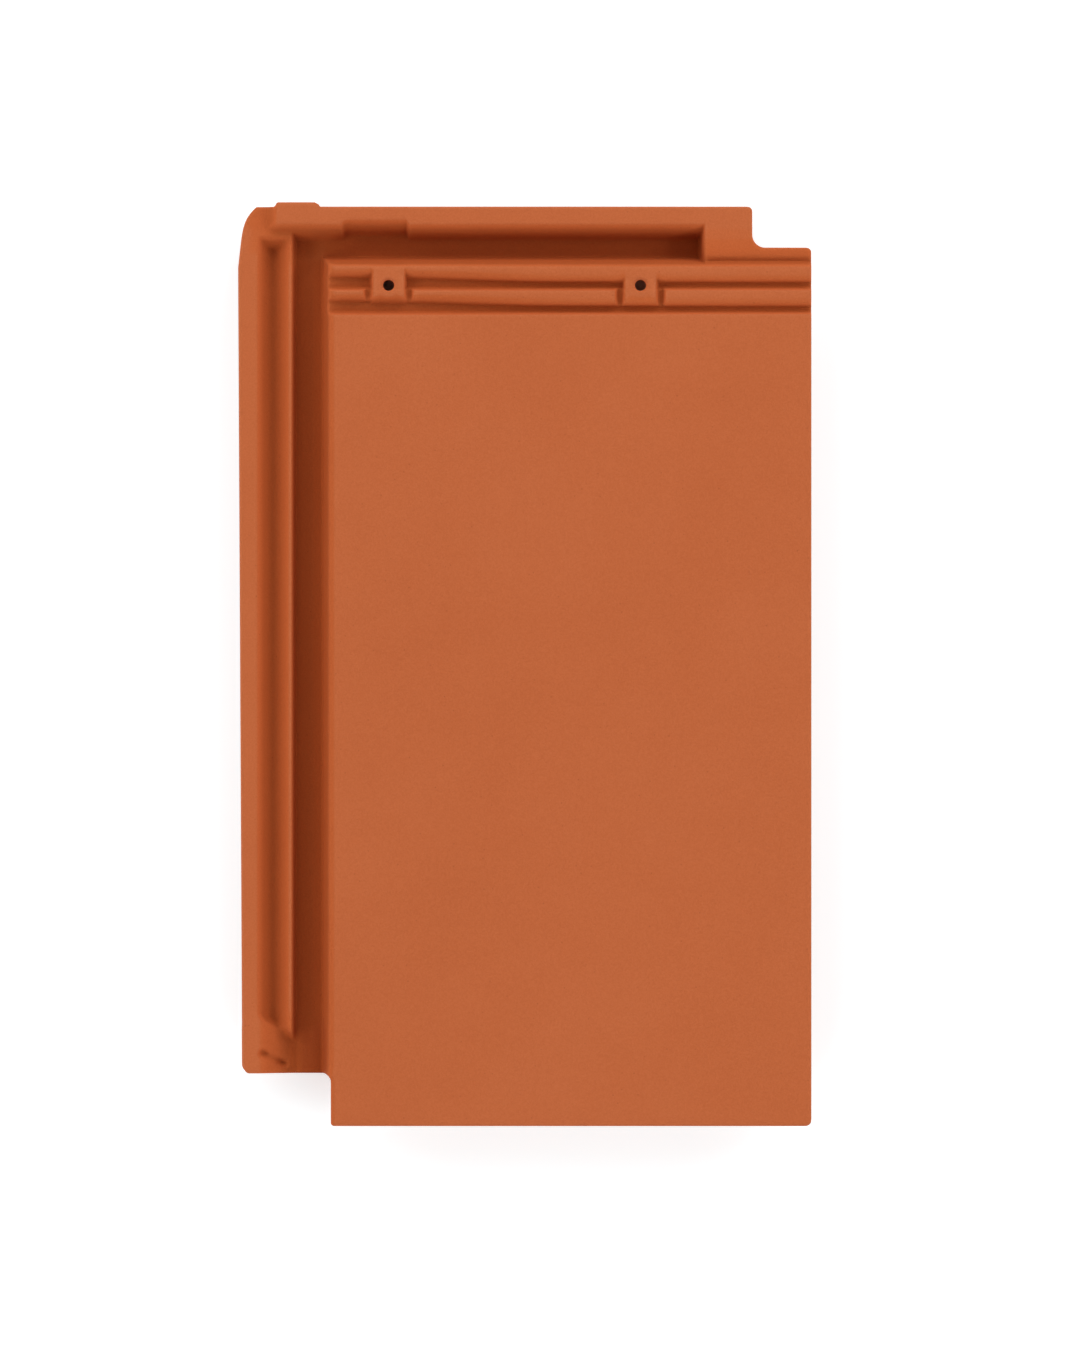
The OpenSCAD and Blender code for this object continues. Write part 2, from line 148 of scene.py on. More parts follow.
# side lock: rim, shallow channel, inner rib, deep channel and the wall up to the face
def sideLock(x, y, t):
    steep, blend = t["steep"], t["blend"]
    slope = np.abs(x - t["shallowX"]) - t["shallowHalf"]
    slope = slope / np.where(x < t["shallowX"], *t["shallowRun"])
    valley = t["shallowZ"] + softMax(slope, 0.0, blend["bed"])
    headEnd = t["shallowZ"] + (y - t["floorY"][1] + t["shallowRise"]) * steep["shallowEnd"]
    z = softMin(t["rimZ"], softMax(valley, headEnd, blend["shallowEnd"]), blend["rim"])
    ribWall = t["deepZ"] + (t["deepX"] - x) * steep["innerRib"]
    z = softMin(z, softMax(t["deepZ"], ribWall, blend["bed"]), blend["innerRib"])
    z = lockFoot(x, y, z, t)
    wall = t["deepZ"] + (x - t["wallX"]) * (t["faceZ"] - t["deepZ"]) / (t["lockW"] - t["wallX"])
    # towards the wall the face falls off with the square of the way
    run, drop, most = t["faceEdge"]
    face = t["faceZ"] - drop * np.clip((t["lockW"] + run - x) / run, 0.0, most) ** 2
    return softMax(z, softMin(wall, face, blend["faceEdge"]), blend["wallFoot"])


# foot of the lock: below a diagonal line the section gives way to one slope from the rim down into the deep
# channel, with a crease across it that is deeper in two pits
def lockFoot(x, y, z, t):
    part = np.clip((t["deepX"] + t["slopePast"] - x) / (t["deepX"] - t["rimW"]), 0.0, t["slopeMost"])
    rise = t["rimZ"] + t["slopeOver"] - t["deepZ"]
    slope = softMin(t["rimZ"], t["deepZ"] + rise * part ** t["slopeBow"], t["blend"]["lockFoot"])
    diagonal = t["lockEnd"] - (x - t["shallowX"]) * t["lockEndTurn"]
    z = slope + (z - slope) * ease(y - diagonal, *t["lockEndEase"])
    turn = math.radians(t["creaseAngle"])
    dx, dy = x - t["creaseStart"][0], y - t["creaseStart"][1]
    along = dx * math.cos(turn) + dy * math.sin(turn)
    off = dy * math.cos(turn) - dx * math.sin(turn)
    pits = sum(np.exp(-((along - at) / w) ** 2) for at, w in t["creasePits"])
    start, stop = t["creaseEnds"]
    length = ease(along, *start) * (1 - ease(along, *stop))
    return z - t["creaseD"] * (1 + pits) * np.exp(-(off / t["creaseW"]) ** 2) * length


# cross grooves: two beds with sloping sides that widen and deepen towards the side lock and get shallower
# towards the cover side; on the head side of each, the rib falls towards it with the square of the way
def crossGrooves(x, y, z, t):
    steep, blend = t["steep"], t["blend"]
    onFace = ease(x - t["lockW"], *t["onFace"])
    wide = 1 - ease(x, *t["widenX"])
    lean = t["lean"] * (1 - t["leanLoss"] * ease(x, *t["leanX"]))
    bed = t["faceZ"] - t["grooveD"] * (1 + t["deepen"] * wide - t["flatten"] * ease(x, *t["flattenX"]))
    for lo, hi in t["grooves"]:
        hi = hi + t["widen"] * wide
        fall = np.clip((hi + t["leanL"] - y) / t["leanL"], 0.0, 1.0) ** 2 * ease(y - hi, *t["leanStart"])
        z = z - lean * fall * onFace
        footWall = softMax((lo + t["grooveFoot"] - y) * steep["grooveFoot"], 0.0, blend["grooveBed"])
        headWall = softMax((y - hi + t["grooveHead"]) * steep["grooveHead"], 0.0, blend["grooveBed"])
        footSide = softMin(z, bed + footWall, blend["grooveFoot"])
        headSide = softMin(z, bed + headWall, blend["grooveHead"])
        z = np.where(y < (lo + hi) / 2, footSide, headSide)
    return z


# nail bosses: blocks at face height that slope away at the foot, with a short moat on both sides of each
def nailBosses(x, y, z, t):
    steep, blend = t["steep"], t["blend"]
    moatStart = t["grooves"][1][1] - t["moatEnds"][0]
    moatStop = t["grooves"][0][0] + t["moatEnds"][1]
    for hx in t["holeX"]:
        beside = above(np.abs(x - hx) - t["bossHalf"]) * steep["bossSide"]
        below = softMax((t["holeY"] - t["bossFoot"] - y) * steep["bossFoot"], 0.0, blend["bossFoot"])
        z = softMax(z, t["faceZ"] - np.maximum(beside, below), blend["boss"])
        side = np.abs(np.abs(x - hx) - t["bossHalf"] - t["moatHalf"])
        moat = t["faceZ"] - t["moatD"] + softMax((side - t["moatFlat"]) * steep["moat"], 0.0, blend["moatBed"])
        z = softMin(z, moat + outside(y, moatStart, moatStop) * steep["moatEnd"], blend["moat"])
    return z


# head channel: the upper cross rib falls to the level of the head rim, with a shallow seam right of the
# channel; the channel is a floor between the rib's wall and its end walls, sharp-edged in the lock and soft in
# the face
def headChannel(x, y, z, t):
    steep, blend = t["steep"], t["blend"]
    ribFall = above(t["channelY"][0] + t["ribFall"] - y) * steep["ribFall"]
    z = softMin(z, t["headRimZ"] + ribFall, blend["ribFall"])
    seam = np.exp(-((y - t["channelY"][0] - t["seamY"]) / t["seamW"]) ** 2)
    z = z - t["seamD"] * seam * ease(x - t["channelEnd"], *t["seamX"])
    ribWall = (t["floorY"][0] - y) * (t["faceZ"] - t["floorZ"]) / (t["floorY"][0] - t["channelY"][0])
    endWall = np.maximum(x - t["channelEnd"] + t["endDraft"], t["deepX"] - x) * steep["channelEnd"]
    walls = softMax(softMax(ribWall, 0.0, blend["bed"]), endWall, blend["bed"])
    floor = t["deepZ"] + (t["floorZ"] - t["deepZ"]) * ease(x, t["wallX"], t["wallX"] + t["floorRun"])
    sharp, soft = blend["channel"]
    return softMin(z, floor + walls, sharp + (soft - sharp) * ease(x, *t["channelSoftX"]))


# head rim: a wall from the channel floor to the rim's level, cut back over the recess; on the left it ramps
# down to the rim of the side lock, on the right it ends past the channel
def headRim(x, y, z, t):
    steep, blend = t["steep"], t["blend"]
    cutBack = t["recessD"] * window(x, *t["recess"], t["recessEase"])
    climb = (t["headRimZ"] - t["floorZ"]) / (t["channelY"][1] - t["floorY"][1])
    wall = t["floorZ"] + (y - t["floorY"][1] - cutBack) * climb
    level = t["rimZ"] + (t["headRimZ"] - t["rimZ"]) * ease(x, t["rampX"], t["rampX"] + t["rampL"])
    rim = softMin(wall, level, blend["headRim"])
    rim = rim - above(t["rampX"] + t["rimStart"] - x) * steep["rimStart"]
    rim = rim - above(x - t["channelEnd"] - t["rimEnd"]) * steep["rimEnd"]
    soft, sharp = blend["rimJoin"]
    return softMax(z, rim, soft + (sharp - soft) * ease(x - t["channelEnd"], *t["rimJoinX"]))


# the upper die: height of the weather side over the plan
def upperDie(x, y, t):
    z = sideLock(x, y, t)
    for shape in (crossGrooves, nailBosses, headChannel, headRim):
        z = shape(x, y, z, t)
    return z


# how much open sky a point of the weather side has, which sets the painted shade in recesses: the mean of cos
# squared of the skyline over all headings, where the skyline is the steepest sight of clay within reach
def openSky(x, y, t):
    base = upperDie(x, y, t)
    total = np.zeros_like(base)
    for dx, dy in allRound(t["headings"]):
        skyline = np.zeros_like(base)
        for far in t["skyReach"]:
            skyline = np.maximum(skyline, (upperDie(x + dx * far, y + dy * far, t) - base) / far)
        total += 1.0 / (1.0 + skyline ** 2)
    return total / t["headings"]


# how far a point stands proud of a ring of clay around it, from 0 on level clay to 1 on a sharp arris
def proudEdges(x, y, t):
    around = np.zeros_like(x)
    for dx, dy in allRound(t["headings"]):
        around += upperDie(x + t["proudR"] * dx, y + t["proudR"] * dy, t)
    proud = upperDie(x, y, t) - around / t["headings"]
    return np.clip((proud - t["proudFrom"]) / t["proudRun"], 0.0, 1.0)


# underside of lock and slab: the lock's floor, a slope up to the slab, more room at the lock's foot and a
# pocket beside the foot notch
def slabUnder(x, y, t):
    steep, blend = t["steep"], t["blend"]
    z = t["underZ"] + above(x - t["lockW"] - t["slabStart"]) * steep["slab"]
    z = softMin(z, t["slabZ"], blend["slab"])
    z = softMax(z, t["reliefZ"] - above(y - t["reliefY"]) * steep["relief"], blend["relief"])
    lo, hi = t["pocketX"]
    away = above(y - t["footNotch"][1]) + outside(x, t["lockW"] + lo, t["lockW"] + hi)
    return softMax(z, t["slabZ"] + t["pocketZ"] - away * steep["pocket"], blend["pocket"])


# underside of the cover: the higher flange, its rib for the next tile's shallow channel, the down-turned lip
def coverUnder(x, y, z, t):
    steep, blend = t["steep"], t["blend"]
    flange = t["slabZ"] + (x - t["flangeX"] + t["flangeStart"]) * steep["flange"]
    z = softMax(z, softMin(flange, t["flangeZ"], blend["flange"]), blend["flange"])
    ribX, half, tip = t["flangeRib"]
    ribSide = above(np.abs(x - ribX) - half) / t["shallowRun"][0]
    ribEnds = outside(y, *t["flangeRibY"]) * steep["flangeRibEnd"]
    z = softMin(z, tip + ribSide + ribEnds, blend["flangeRib"])
    return softMin(z, t["lipZ"] + above(t["lipX"] - x) * steep["lip"], blend["lip"])


# the lowest clay: what is under the head channel, the nose, the foot rib and a nib in line with each nail hole
def lowUnder(x, y, z, t):
    steep, blend = t["steep"], t["blend"]
    troughFoot = above(t["troughY"] - y) * steep["troughFoot"]
    troughEnd = above(x - t["troughX"]) * steep["troughEnd"]
    z = softMin(z, t["underZ"] + np.maximum(troughFoot, troughEnd), blend["trough"])
    nose = above(y - t["noseL"]) * steep["nose"] + above(x - t["width"] + t["noseEnd"]) * steep["noseEnd"]
    z = softMin(z, t["noseZ"] + nose, blend["nose"])
    rib = above(np.abs(y - t["footRibY"]) - t["footRibHalf"]) * steep["footRib"]
    z = softMin(z, rib + outside(x, *t["footRibX"]) * steep["footRibEnd"], blend["footRib"])
    lo, hi = t["nibY"]
    for nx in t["holeX"]:
        nib = np.maximum(above(lo - y) * steep["nibFoot"], above(y - hi) * steep["nibHead"])
        ends = above(np.abs(x - nx) - t["nibHalf"] + t["endDraft"]) * steep["nibEnd"]
        z = softMin(z, np.maximum(nib, ends), blend["nib"])
    return z


# the lower die: height of the underside over the plan, each form a slope cut off at its level
def lowerDie(x, y, t):
    return lowUnder(x, y, coverUnder(x, y, slabUnder(x, y, t), t), t)


# grid lines along one axis: runs of (from, to, step), with five close lines inside each edge for its arris
def gridLines(runs, edges, arris):
    inside = np.array([0.0, 0.08, 0.26, 0.56, 1.0]) * arris
    nearest = 0.2
    close = np.concatenate([at + way * inside for at, way in edges])
    loose = np.concatenate([np.arange(lo, hi - 0.3 * step, step) for lo, hi, step in runs])
    gap = np.abs(loose[:, None] - close[None, :]).min(axis=1)
    return np.unique(np.round(np.concatenate([loose[gap > nearest], close]), 4))


# how far inside the plan outline a point of the square grid lies
def insideBy(x, y, t):
    edge = np.minimum(np.minimum(x, t["width"] - x), np.minimum(y, t["length"] - y))
    nx, ny = t["footNotch"]
    edge = np.minimum(edge, np.hypot(above(x - nx), above(y - ny)))
    nx, ny = t["headNotch"]
    return np.minimum(edge, np.hypot(above(nx - x), above(ny - y)))


# rounds an outer plan corner: square rings about the arc's centre are pulled into circular ones
def roundCorner(x, y, cx, cy, sx, sy, r):
    px, py = sx * (x - cx) + r, sy * (y - cy) + r
    far = np.maximum(px, py)
    use = (px > 0) & (py > 0) & (far <= r + 1e-6)
    pull = np.where(use, far / np.maximum(np.hypot(px, py), 1e-9), 1.0)
    return cx + sx * (px * pull - r), cy + sy * (py * pull - r)


# fills an inner plan corner: both edges bend onto an arc of radius r, the clay behind follows and fades out
def fillCorner(x, y, cx, cy, sx, sy, r):
    u, v = sx * (x - cx), sy * (y - cy)
    near, far = np.minimum(u, v), np.maximum(u, v)
    way = np.clip(far, 0.0, r)
    turn = math.pi / 4 * (1 - way / r)
    slide = r * np.sin(turn) - (r - way)
    push = r * (1 - np.cos(turn))
    w = 1 - ease(above(-near), 0.0, 1.05 * r)
    w = w * (near <= 1e-6) * (far < r)
    du, dv = np.where(u >= v, -slide, push), np.where(u >= v, push, -slide)
    return x + sx * w * du, y + sy * w * dv


# opens a nail hole: square rings about its centre turn into circles, fading out towards the boss edge
def roundHole(x, y, hx, t):
    dx, dy = x - hx, y - t["holeY"]
    far = np.maximum(np.abs(dx), np.abs(dy))
    pull = far / np.maximum(np.hypot(dx, dy), 1e-9)
    w = 1 - ease(far, *t["holeFade"])
    return hx + dx * (1 + w * (pull - 1)), t["holeY"] + dy * (1 + w * (pull - 1))


# the square plan grid, close where the shapes are small, and which of its cells are solid
def squareGrid(t):
    (footX, footY), (headX, headY) = t["footNotch"], t["headNotch"]
    acrossRuns = (
        (2.0, 10.0, 1.4), (10.0, 23.0, 0.7), (23.0, 31.0, 0.5), (31.0, 41.0, 2.0), (41.0, 51.0, 0.5),
        (51.0, 57.0, 1.5), (57.0, 229.0, 8.0), (84.0, 88.0, 0.8), (229.0, 238.0, 0.6), (238.0, 252.0, 2.0),
        (252.0, 286.0, 1.1))
    besideHole = (
        (-19.0, -13.0, 2.4), (-13.0, -7.0, 0.7), (-2.0, 2.1, 1.0), (7.0, 13.0, 0.7), (13.0, 19.0, 2.4))
    alongRuns = (
        (2.0, 26.0, 1.6), (28.0, 58.0, 0.8), (58.0, 404.0, 9.0), (404.0, 415.0, 0.5), (415.0, 417.0, 0.9),
        (417.0, 427.0, 0.5), (427.0, 429.5, 0.9), (429.5, 437.0, 0.5), (437.0, 442.0, 1.0),
        (442.0, 453.5, 0.6), (453.5, 458.5, 0.9))
    aroundHoles = [(hx + lo, hx + hi, step) for hx in t["holeX"] for lo, hi, step in besideHole]
    edgesX = [(0.0, 1), (t["width"], -1), (footX, 1), (headX, -1)]
    edgesX += [(hx + s * t["holeR"], s) for hx in t["holeX"] for s in (-1, 1)]
    edgesY = [(0.0, 1), (t["length"], -1), (footY, 1), (headY, -1)]
    edgesY += [(t["holeY"] + s * t["holeR"], s) for s in (-1, 1)]
    xs = gridLines([*acrossRuns, *aroundHoles], edgesX, t["arris"])
    ys = gridLines(alongRuns, edgesY, t["arris"])
    x, y = np.meshgrid(xs, ys)
    midX, midY = np.meshgrid((xs[1:] + xs[:-1]) / 2, (ys[1:] + ys[:-1]) / 2)
    solid = ~((midX < footX) & (midY < footY))
    solid &= ~((midX > headX) & (midY > headY))
    for hx in t["holeX"]:
        solid &= np.maximum(np.abs(midX - hx), np.abs(midY - t["holeY"])) > t["holeR"]
    return x, y, solid


# bends the square grid to the real outline: rounded corners, filled notches, round holes, the lock's slight
# taper, the cut corner and the lug
def realPlan(x, y, t):
    (footX, footY), (headX, headY) = t["footNotch"], t["headNotch"]
    corners = (
        (footX, 0.0, -1, -1, t["noseR"]), (t["width"], 0.0, 1, -1, t["coverFootR"]),
        (0.0, footY, -1, -1, t["lockFootR"]), (t["width"], headY, 1, 1, t["headR"]),
        (headX, t["length"], 1, 1, t["headR"]))
    px, py = x, y
    for corner in corners:
        px, py = roundCorner(px, py, *corner)
    px, py = fillCorner(px, py, footX, footY, -1, -1, t["footFill"])
    px, py = fillCorner(px, py, headX, headY, 1, 1, t["headFill"])
    for hx in t["holeX"]:
        px, py = roundHole(px, py, hx, t)
    draw = t["taper"] * (1 - np.clip((y - footY) / (t["length"] - footY), 0, 1))
    # the cut corner leans in evenly at first and turns in quickly at the head
    cut = np.clip((y - t["length"] + t["cornerY"]) / t["cornerY"], 0, 1)
    cut = t["cornerX"] * (t["cornerEven"] * cut + (1 - t["cornerEven"]) * cut ** t["cornerPower"])
    px = px + draw * fade(x, t["taperFade"]) + cut * fade(x, t["cornerFade"])
    py = py + t["lugOut"] * window(x, *t["lug"], t["lugEase"]) * fade(t["length"] - y, t["lugFade"])
    return px, py


# closes two grids of points to one skin: upper faces, lower faces turned over, and rows of wall faces between
# them wherever a solid cell meets an empty one
def closedSkin(upper, lower, solid, wallRows):
    ny, nx = upper.shape[:2]
    count = ny * nx
    index = np.arange(count).reshape(ny, nx)
    upper, lower = upper.reshape(-1, 3), lower.reshape(-1, 3)
    rows, cols = np.nonzero(solid)
    a, b = index[rows, cols], index[rows, cols + 1]
    c, d = index[rows + 1, cols + 1], index[rows + 1, cols]
    faces = [np.stack([a, b, c, d], axis=1), np.stack([a, d, c, b], axis=1) + count]

    # the four sides of a cell: where the neighbour lies in the padded grid, and the side's start and stop
    # corners, walked with the clay on the left
    sides = (((0, 1), (0, 0), (0, 1)), ((2, 1), (1, 1), (1, 0)),
             ((1, 0), (1, 0), (0, 0)), ((1, 2), (0, 1), (1, 1)))
    padded = np.pad(solid, 1)
    starts, stops = [], []
    for side, p, q in sides:
        r, s = np.nonzero(solid & ~padded[side[0]:side[0] + ny - 1, side[1]:side[1] + nx - 1])
        starts.append(index[r + p[0], s + p[1]])
        stops.append(index[r + q[0], s + q[1]])
    starts, stops = np.concatenate(starts), np.concatenate(stops)
    rim = np.unique(np.concatenate([starts, stops]))
    share = (np.arange(1, wallRows + 1) / (wallRows + 1))[:, None, None]
    between = (upper[rim][None] * (1 - share) + lower[rim][None] * share).reshape(-1, 3)
    place = np.zeros(count, dtype=np.int64)
    place[rim] = np.arange(len(rim))
    rowsAt = [2 * count + k * len(rim) for k in range(wallRows)]
    ringAt = [starts, *[at + place[starts] for at in rowsAt], starts + count]
    ringTo = [stops, *[at + place[stops] for at in rowsAt], stops + count]
    for k in range(wallRows + 1):
        faces.append(np.stack([ringAt[k], ringAt[k + 1], ringTo[k + 1], ringTo[k]], axis=1))
    return np.concatenate([upper, lower, between]), np.concatenate(faces)


# the whole skin: upper and lower die over one bent grid, with rounded arrises, opened hole mouths and drafted
# edges, and how much painted shade and how much wear each point gets
def buildTile(t):
    x, y, solid = squareGrid(t)
    px, py = realPlan(x, y, t)
    depth = insideBy(x, y, t)
    top, under = upperDie(x, y, t), lowerDie(x, y, t)
    drop = np.minimum(roundOff(depth, t["arris"]), t["arrisMost"] * (top - under))
    reach = np.minimum(*[np.hypot(px - hx, py - t["holeY"]) for hx in t["holeX"]])
    swell = t["wave"] * (unevenness(px, py) - 1.0) * ease(depth, 0.0, t["waveFade"])
    top = top - drop + swell - t["mouthD"] * (1 - ease(reach, t["holeR"], t["mouthR"]))
    under = under + drop * t["underArris"]

    # the underside pulls in at the cover lip and the nose, the top at the lock's outer edge
    topX = px + t["edgeDraft"][0] * fade(x, t["edgeDraft"][1])
    lowX = px - t["lipDraft"][0] * fade(t["width"] - x, t["lipDraft"][1])
    lowY = py + t["noseDraft"][0] * fade(y, t["noseDraft"][1])
    upper, lower = np.stack([topX, py, top], axis=-1), np.stack([lowX, lowY, under], axis=-1)
    points, faces = closedSkin(upper, lower, solid, t["wallRows"])

    # painted shade: the foot of the deep channel is darkened to be as dark as the rest of it
    foot = ease(x, *t["footShadeX"]) * (1 - ease(x, t["wallX"], t["lockW"])) * (1 - ease(y, *t["footShadeY"]))
    # the first look is painted shade: more where little sky is open, plus the painted shade at the lock's foot
    looks = dict(
        paintedShade=1.0 - openSky(x, y, t) + t["footShade"] * foot,
        worn=np.maximum(proudEdges(x, y, t), 1 - ease(depth, *t["wornEdge"])))

    # points of empty cells are dropped; the underside gets no painted shade and no wear
    used = np.unique(faces)
    rest = np.zeros(len(points) - x.size)
    looks = {name: np.concatenate([value.ravel(), rest])[used] for name, value in looks.items()}
    renumber = np.zeros(len(points), dtype=np.int64)
    renumber[used] = np.arange(len(used))
    return points[used], renumber[faces], looks, x.shape[::-1]


def meshFrom(name, points, faces, looks):
    mesh = bpy.data.meshes.new(name)
    mesh.vertices.add(len(points))
    mesh.vertices.foreach_set("co", points.astype(np.float32).ravel())
    mesh.loops.add(faces.size)
    mesh.loops.foreach_set("vertex_index", faces.astype(np.int32).ravel())
    mesh.polygons.add(len(faces))
    mesh.polygons.foreach_set("loop_start", np.arange(0, faces.size, 4, dtype=np.int32))
    mesh.update(calc_edges=True)
    mesh.validate()
    mesh.polygons.foreach_set("use_smooth", np.ones(len(mesh.polygons), dtype=bool))
    for look, value in looks.items():
        mesh.attributes.new(look, "FLOAT", "POINT").data.foreach_set("value", value.astype(np.float32))
    piece = bpy.data.objects.new(name, mesh)
    bpy.context.collection.objects.link(piece)
    return piece


points, faces, looks, lines = buildTile(tile)
points[:, :2] -= centre
skin = meshFrom("tile_skin", points / 1000.0, faces, looks)
even = skin.modifiers.new("even_normals", "WEIGHTED_NORMAL")
even.weight = tile["normalWeight"]
print("tile skin:", lines, "grid lines,", len(faces) * 2, "triangles")

# fired clay: an orange-red body with faint clouds, sandy grain and sparse dark specks, a little paler on worn
# edges, with painted shade, darker and redder, where it lies in recesses
clay = dict(
    deep=(0.502, 0.120, 0.038), face=(0.536, 0.134, 0.044), pale=(0.562, 0.148, 0.052),
    # scale, detail and roughness of the noises, and where the first two turn from deep to face to pale
    cloud=(16.0, 5.0, 0.55), grain=(1100.0, 4.0, 0.75), peel=(210.0, 2.0, 0.5),
    cloudStops=(0.30, 0.50, 0.70), grainStops=(0.38, 0.50, 0.62), grainShare=0.65,
    speck=(0.300, 0.066, 0.024), speckShare=0.45, speckScale=260.0,
    speckCells=(0.62, 0.66), speckEdge=(0.04, 0.13),
    worn=(0.600, 0.172, 0.068), wornShare=0.35, wornLeast=0.3,
    # painted shade: what the colour is multiplied by, from open sky to the deepest recess
    paintedShadeTints=(
        (0.0, (1.0, 1.0, 1.0)), (0.012, (1.0, 0.90, 0.76)), (0.04, (1.0, 0.86, 0.69)),
        (0.12, (0.92, 0.79, 0.61)), (0.23, (0.79, 0.66, 0.48)), (0.35, (0.80, 0.64, 0.425)),
        (0.46, (0.715, 0.545, 0.375)), (0.75, (0.55, 0.36, 0.17))),
    rough=(0.82, 0.96), roughGrain=(0.3, 0.7), gloss=0.1, grainBump=0.00026, peelBump=0.0002)


def firedClay(c):
    material = bpy.data.materials.new("fired_clay")
    material.use_nodes = True
    tree = material.node_tree
    shader = tree.nodes["Principled BSDF"]
    shader.inputs["Specular IOR Level"].default_value = c["gloss"]
    place = tree.nodes.new("ShaderNodeTexCoord").outputs["Object"]

    def noise(scale, detail, rough):
        n = tree.nodes.new("ShaderNodeTexNoise")
        n.inputs["Scale"].default_value = scale
        n.inputs["Detail"].default_value = detail
        n.inputs["Roughness"].default_value = rough
        tree.links.new(place, n.inputs["Vector"])
        return n.outputs["Fac"]

    def ramp(value, stops):
        r = tree.nodes.new("ShaderNodeValToRGB")
        while len(r.color_ramp.elements) < len(stops):
            r.color_ramp.elements.new(0.5)
        for element, (at, colour) in zip(r.color_ramp.elements, stops):
            element.position = at
            element.color = (*colour, 1)
        tree.links.new(value, r.inputs["Fac"])
        return r.outputs["Color"]

    def bodyRamp(value, stops):
        return ramp(value, list(zip(stops, (c["deep"], c["face"], c["pale"]))))

    def between(value, fromLo, fromHi, lo, hi):
        m = tree.nodes.new("ShaderNodeMapRange")
        for socket, number in zip(("From Min", "From Max", "To Min", "To Max"), (fromLo, fromHi, lo, hi)):
            m.inputs[socket].default_value = number
        tree.links.new(value, m.inputs["Value"])
        return m.outputs["Result"]

    # second colour over the first by a share, or multiplied with it
    def mixed(share, first, second, way="MIX"):
        m = tree.nodes.new("ShaderNodeMix")
        m.data_type = "RGBA"
        m.blend_type = way
        for socket, value in ((m.inputs[0], share), (m.inputs[6], first), (m.inputs[7], second)):
            if isinstance(value, bpy.types.NodeSocket):
                tree.links.new(value, socket)
            else:
                socket.default_value = value
        return m.outputs[2]

    def attribute(name):
        a = tree.nodes.new("ShaderNodeAttribute")
        a.attribute_name = name
        return a.outputs["Fac"]

    def product(a, b):
        m = tree.nodes.new("ShaderNodeMath")
        m.operation = "MULTIPLY"
        tree.links.new(a, m.inputs[0])
        tree.links.new(b, m.inputs[1])
        return m.outputs[0]

    cloud, grain, peel = noise(*c["cloud"]), noise(*c["grain"]), noise(*c["peel"])
    body = mixed(c["grainShare"], bodyRamp(cloud, c["cloudStops"]), bodyRamp(grain, c["grainStops"]))
    # specks: the middles of scattered cells, in about a third of them
    cells = tree.nodes.new("ShaderNodeTexVoronoi")
    cells.inputs["Scale"].default_value = c["speckScale"]
    tree.links.new(place, cells.inputs["Vector"])
    chosen = between(cells.outputs["Color"], *c["speckCells"], 0.0, c["speckShare"])
    middle = between(cells.outputs["Distance"], *c["speckEdge"], 1.0, 0.0)
    body = mixed(product(chosen, middle), body, (*c["speck"], 1))
    # the grain eats into the paler edge, so that it isn't an even line
    low, high = c["grainStops"][0], c["grainStops"][-1]
    chips = between(grain, low, high, c["wornLeast"] * c["wornShare"], c["wornShare"])
    body = mixed(product(attribute("worn"), chips), body, (*c["worn"], 1))
    # painted shade: the body colour is multiplied darker and redder where little sky is open
    body = mixed(1.0, body, ramp(attribute("paintedShade"), c["paintedShadeTints"]), "MULTIPLY")
    tree.links.new(body, shader.inputs["Base Color"])
    tree.links.new(between(grain, *c["roughGrain"], *c["rough"]), shader.inputs["Roughness"])
    normal = None
    for height, deep in ((peel, c["peelBump"]), (grain, c["grainBump"])):
        bump = tree.nodes.new("ShaderNodeBump")
        bump.inputs["Distance"].default_value = deep
        tree.links.new(height, bump.inputs["Height"])
        if normal:
            tree.links.new(normal, bump.inputs["Normal"])
        normal = bump.outputs["Normal"]
    tree.links.new(normal, shader.inputs["Normal"])
    return material


skin.data.materials.append(firedClay(clay))
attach(skin, "root")
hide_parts("roof_tile")
print("clay fired")

# plain white floor, a ring of low soft boxes that is a little stronger on the head side, a camera straight
# above; in metres, watts and degrees, and the sensor in mm
studio = dict(
    floor=(0.86, 0.92, 0.94, 1.0), floorSize=8.0, seenWhite=0.43, under=(-0.085, 0.172, 0.075, 0.200),
    white=(1.0, 1.0, 1.0, 1.0), world=0.16,
    boxes=8, boxSize=1.0, boxFar=2.4, boxRise=28.0, boxWatts=13.2, headShare=0.18,
    cameraZ=6.0, frameHigh=0.675, offset=(0.008, -0.0055), sensor=36.0, farthest=50.0)


# 1 for rays that see the backdrop from the camera, in a reflection or through glass, times a share
def seenRays(tree, share):
    path = tree.nodes.new("ShaderNodeLightPath")
    total = path.outputs["Is Camera Ray"]
    for name in ("Is Glossy Ray", "Is Transmission Ray"):
        add = tree.nodes.new("ShaderNodeMath")
        add.use_clamp = True
        tree.links.new(total, add.inputs[0])
        tree.links.new(path.outputs[name], add.inputs[1])
        total = add.outputs[0]
    scale = tree.nodes.new("ShaderNodeMath")
    scale.operation = "MULTIPLY"
    scale.inputs[1].default_value = share
    tree.links.new(total, scale.inputs[0])
    return scale.outputs[0]


# matt white paper, which the camera sees brighter by a share, so that it turns pure white away from the shadow
def floorPaper(name, s, share):
    paper = bpy.data.materials.new(name)
    paper.use_nodes = True
    tree = paper.node_tree
    tree.nodes.clear()
    matt = tree.nodes.new("ShaderNodeBsdfDiffuse")
    matt.inputs["Color"].default_value = s["floor"]
    out = tree.nodes.new("ShaderNodeOutputMaterial")
    surface = matt
    if share > 0:
        white = tree.nodes.new("ShaderNodeEmission")
        surface = tree.nodes.new("ShaderNodeAddShader")
        tree.links.new(seenRays(tree, share), white.inputs["Strength"])
        tree.links.new(matt.outputs[0], surface.inputs[0])
        tree.links.new(white.outputs[0], surface.inputs[1])
    tree.links.new(surface.outputs[0], out.inputs["Surface"])
    return paper


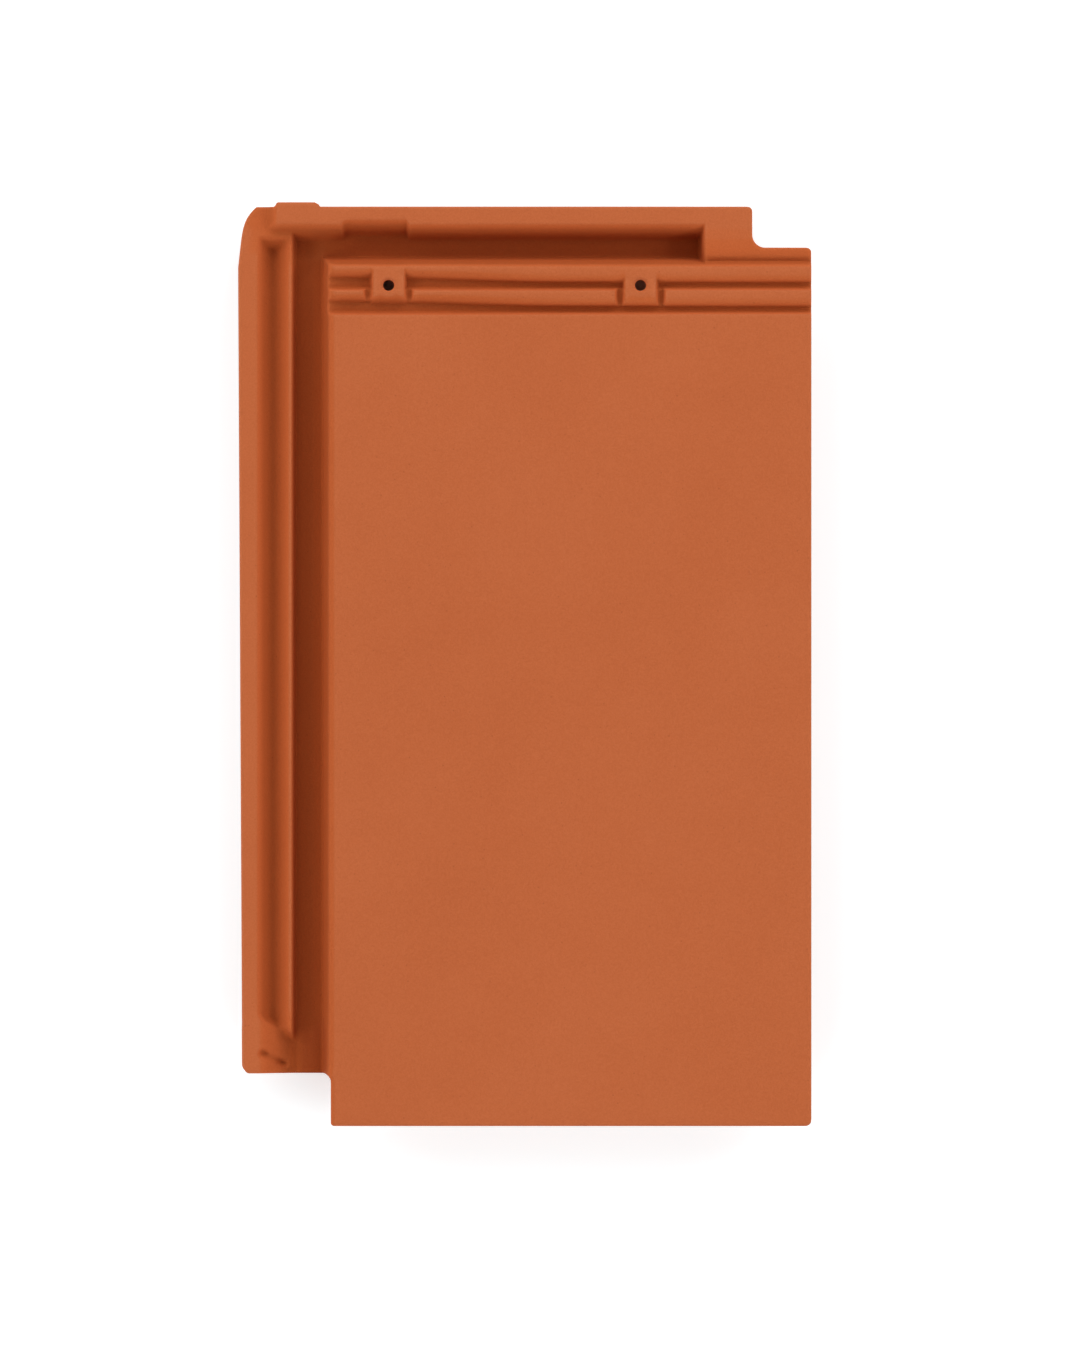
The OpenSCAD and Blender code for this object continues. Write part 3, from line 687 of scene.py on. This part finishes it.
# a square floor with a plain patch under the nail holes, so that they look down into shade
def plainFloor(s):
    half, (x0, y0, x1, y1) = s["floorSize"] / 2, s["under"]
    square = [(-half, -half, 0), (half, -half, 0), (half, half, 0), (-half, half, 0)]
    patch = [(x0, y0, 0), (x1, y0, 0), (x1, y1, 0), (x0, y1, 0)]
    mesh = bpy.data.meshes.new("floor")
    around = [(k, (k + 1) % 4, 4 + (k + 1) % 4, 4 + k) for k in range(4)]
    mesh.from_pydata(square + patch, [], around + [(4, 5, 6, 7)])
    mesh.materials.append(floorPaper("floor_paper", s, s["seenWhite"]))
    mesh.materials.append(floorPaper("floor_under", s, 0.0))
    mesh.polygons[4].material_index = 1
    floor = bpy.data.objects.new("floor", mesh)
    bpy.context.collection.objects.link(floor)


# a dim white world to light the tile, which is full white where it is seen
def paleWorld(s):
    world = bpy.data.worlds.new("studio")
    bpy.context.scene.world = world
    world.use_nodes = True
    tree = world.node_tree
    lit = tree.nodes["Background"]
    lit.inputs["Color"].default_value = s["white"]
    lit.inputs["Strength"].default_value = s["world"]
    seen = tree.nodes.new("ShaderNodeBackground")
    seen.inputs["Color"].default_value = s["white"]
    mix = tree.nodes.new("ShaderNodeMixShader")
    tree.links.new(seenRays(tree, 1.0), mix.inputs[0])
    tree.links.new(lit.outputs[0], mix.inputs[1])
    tree.links.new(seen.outputs[0], mix.inputs[2])
    tree.links.new(mix.outputs[0], tree.nodes["World Output"].inputs["Surface"])


# soft boxes stand on a circle and face the tile, with watts that follow how far each stands to the head side
def lightRing(s):
    rise = math.radians(s["boxRise"])
    for k in range(s["boxes"]):
        turn = 2 * math.pi * (k + 0.5) / s["boxes"]
        light = bpy.data.lights.new(f"soft_box_{k}", "AREA")
        light.size = s["boxSize"]
        light.energy = s["boxWatts"] * (1 + s["headShare"] * math.sin(turn))
        lamp = bpy.data.objects.new(light.name, light)
        bpy.context.collection.objects.link(lamp)
        flat = s["boxFar"] * math.cos(rise)
        lamp.location = (flat * math.cos(turn), flat * math.sin(turn), s["boxFar"] * math.sin(rise))
        lamp.rotation_euler = (math.pi / 2 - rise, 0, turn + math.pi / 2)
        lamp.visible_camera = False


# the lens is as long as it takes to see frameHigh metres from top to bottom at the level of the tile's face
def lookDown(s):
    lens = bpy.data.cameras.new("camera")
    lens.sensor_fit = "VERTICAL"
    lens.sensor_height = s["sensor"]
    lens.lens = s["sensor"] * (s["cameraZ"] - tile["faceZ"] / 1000.0) / s["frameHigh"]
    lens.clip_end = s["farthest"]
    camera = bpy.data.objects.new("camera", lens)
    bpy.context.collection.objects.link(camera)
    camera.location = (*s["offset"], s["cameraZ"])
    bpy.context.scene.camera = camera


plainFloor(studio)
paleWorld(studio)
lightRing(studio)
lookDown(studio)
bpy.context.scene.view_settings.view_transform = "Standard"
print("studio set")
